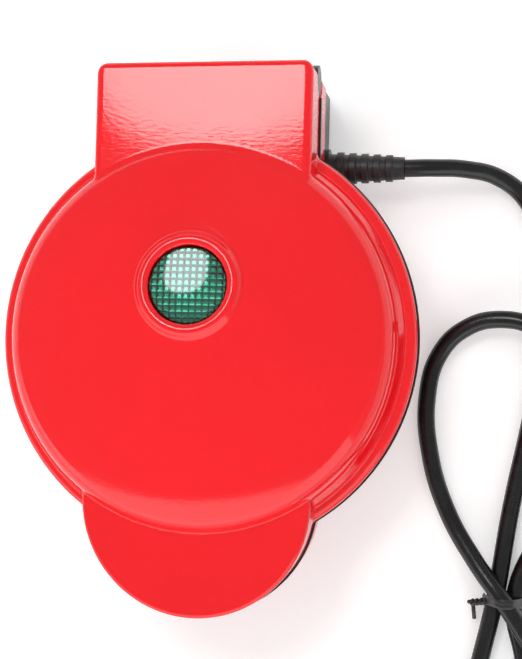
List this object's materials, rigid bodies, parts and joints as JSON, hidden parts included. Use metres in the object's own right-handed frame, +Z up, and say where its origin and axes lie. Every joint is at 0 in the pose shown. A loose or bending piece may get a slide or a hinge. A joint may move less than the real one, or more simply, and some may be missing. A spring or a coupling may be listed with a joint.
{
  "type": "taiyaki maker",
  "caption": "Round hinged countertop cooker with a domed lid, a green pilot lens and a fish-shaped mould in each half, on feet, with a mains lead.",
  "frame": {"origin": "middle of the cooker on the surface that its feet stand on, without the mains lead", "axes": "+X to the right, +Y to the hinge at the back, +Z up"},
  "size_m": [0.1912, 0.2612, 0.0666],
  "materials": {
    "red_enamel": "high gloss",
    "black_plastic": "satin",
    "bright_steel": "satin",
    "rubber_feet": "matt",
    "nonstick_plate": "satin non-stick coating",
    "heater_steel": "matt",
    "cord_rubber": "satin",
    "ceramic": "matt",
    "glass_fibre_wire": "matt",
    "sleeve": "matt",
    "green_lens": "clear gloss",
    "lamp_glass": "clear"
  },
  "bodies": {
    "base": {"base_shell": "red_enamel", "base_frame": "black_plastic", "bottom_cover": "black_plastic", "foot_front_left": "rubber_feet", "foot_front_right": "rubber_feet", "foot_rear_left": "rubber_feet", "foot_rear_right": "rubber_feet", "lower_plate": "nonstick_plate", "lower_heater": "heater_steel", "lower_reflector": "bright_steel", "lower_plate_screws": "bright_steel", "thermostat": "ceramic", "thermal_fuse": "ceramic", "terminal_block": "ceramic", "cord_clamp": "black_plastic", "cord_inner_end": "cord_rubber", "strain_relief": "cord_rubber", "lower_wires": "glass_fibre_wire", "base_frame_screws": "bright_steel", "bottom_cover_screws": "bright_steel", "hinge_pin_left": "bright_steel", "hinge_pin_right": "bright_steel", "wire_sleeve_base": "sleeve", "power_cord": "cord_rubber", "cord_tie": "cord_rubber", "plug_body": "cord_rubber", "plug_blades": "bright_steel"},
    "lid": {"lid_shell": "red_enamel", "lid_frame": "black_plastic", "upper_plate": "nonstick_plate", "upper_heater": "heater_steel", "upper_reflector": "bright_steel", "upper_plate_screws": "bright_steel", "lid_frame_screws": "bright_steel", "indicator_lens": "green_lens", "lamp_holder": "ceramic", "neon_lamp": "lamp_glass", "upper_wires": "glass_fibre_wire", "wire_sleeve_lid": "sleeve"}
  },
  "joints": [
    {"name": "lid_hinge", "type": "hinge", "parent": "base", "child": "lid", "pos_m": [0, 0.07835, 0.035], "axis": [-1, 0, 0], "range_deg": [0, 105]}
  ]
}
